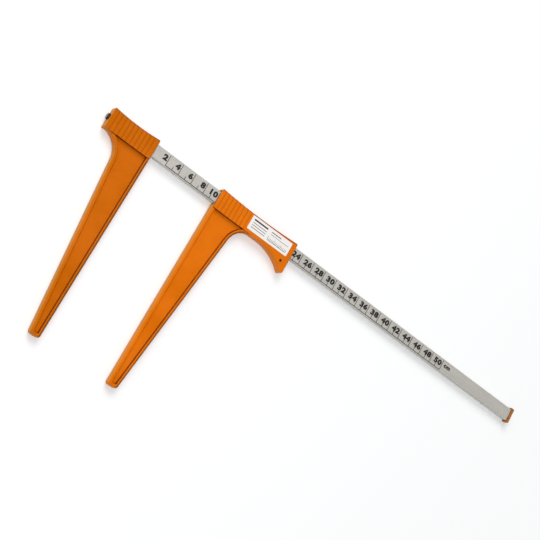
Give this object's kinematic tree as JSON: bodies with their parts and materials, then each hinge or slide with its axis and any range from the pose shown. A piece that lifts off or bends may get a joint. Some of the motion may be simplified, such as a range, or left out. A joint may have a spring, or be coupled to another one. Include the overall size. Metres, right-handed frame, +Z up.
{
  "type": "tree caliper",
  "caption": "Tree caliper: a fixed jaw and a sliding jaw on a graduated beam, for reading the diameter of a trunk or log.",
  "frame": {"origin": "on the surface that the caliper lies on, under the beam's centre line at the middle of the fixed head's back face", "axes": "+X along the beam towards its end cap, +Y across the beam towards the grips, so the legs point along -Y, and +Z up out of the printed face"},
  "size_m": [0.7125, 0.2839, 0.0142],
  "materials": {
    "aluminium": "fine satin anodised, with a printed black centimetre scale",
    "orange_plastic": "orange moulded, semi-gloss with a fine grain",
    "cap_plastic": "orange-brown moulded, matte",
    "nylon": "black, matte",
    "steel": "bright zinc-plated",
    "dark_steel": "blackened",
    "spring_steel": "plain rolled",
    "brass": "turned",
    "label_paper": "white, printed, satin"
  },
  "bodies": {
    "beam_and_fixed_jaw": {"beam": "aluminium", "fixed_jaw": "orange_plastic", "fixed_jaw_screw": "dark_steel", "fixed_jaw_washer": "dark_steel", "clamp_insert_inner": "brass", "clamp_insert_outer": "brass", "clamp_screw_inner": "dark_steel", "clamp_screw_outer": "dark_steel", "end_cap": "cap_plastic", "end_cap_screw": "steel"},
    "slider": {"sliding_jaw": "orange_plastic", "front_lower_shoe": "nylon", "rear_lower_shoe": "nylon", "rear_shoe_pin": "dark_steel", "friction_spring": "spring_steel", "label": "label_paper"},
    "front_shoe": {"front_upper_shoe": "nylon"},
    "front_adjuster": {"front_adjusting_screw": "dark_steel"},
    "rear_shoe": {"rear_upper_shoe": "nylon"},
    "rear_adjuster": {"rear_adjusting_screw": "dark_steel"}
  },
  "joints": [
    {"name": "jaw_slide", "type": "slide", "parent": "beam_and_fixed_jaw", "child": "slider", "axis": [1, 0, 0], "range_m": [-0.1, 0.408]},
    {"name": "front_shoe_travel", "type": "slide", "parent": "slider", "child": "front_shoe", "axis": [0, 1, 0], "range_m": [0, 0.0005]},
    {"name": "front_screw_turn", "type": "hinge", "parent": "front_shoe", "child": "front_adjuster", "pos_m": [0.14495, 0, 0.007], "axis": [0, 1, 0], "range_deg": [0, 360]},
    {"name": "rear_shoe_travel", "type": "slide", "parent": "slider", "child": "rear_shoe", "axis": [0, 1, 0], "range_m": [0, 0.0005]},
    {"name": "rear_screw_turn", "type": "hinge", "parent": "rear_shoe", "child": "rear_adjuster", "pos_m": [0.25315, 0, 0.007], "axis": [0, 1, 0], "range_deg": [0, 360]}
  ],
  "couplings": [
    {"joint": "front_screw_turn", "follows": "front_shoe_travel", "rad_per_m": 12566},
    {"joint": "rear_screw_turn", "follows": "rear_shoe_travel", "rad_per_m": 12566}
  ]
}
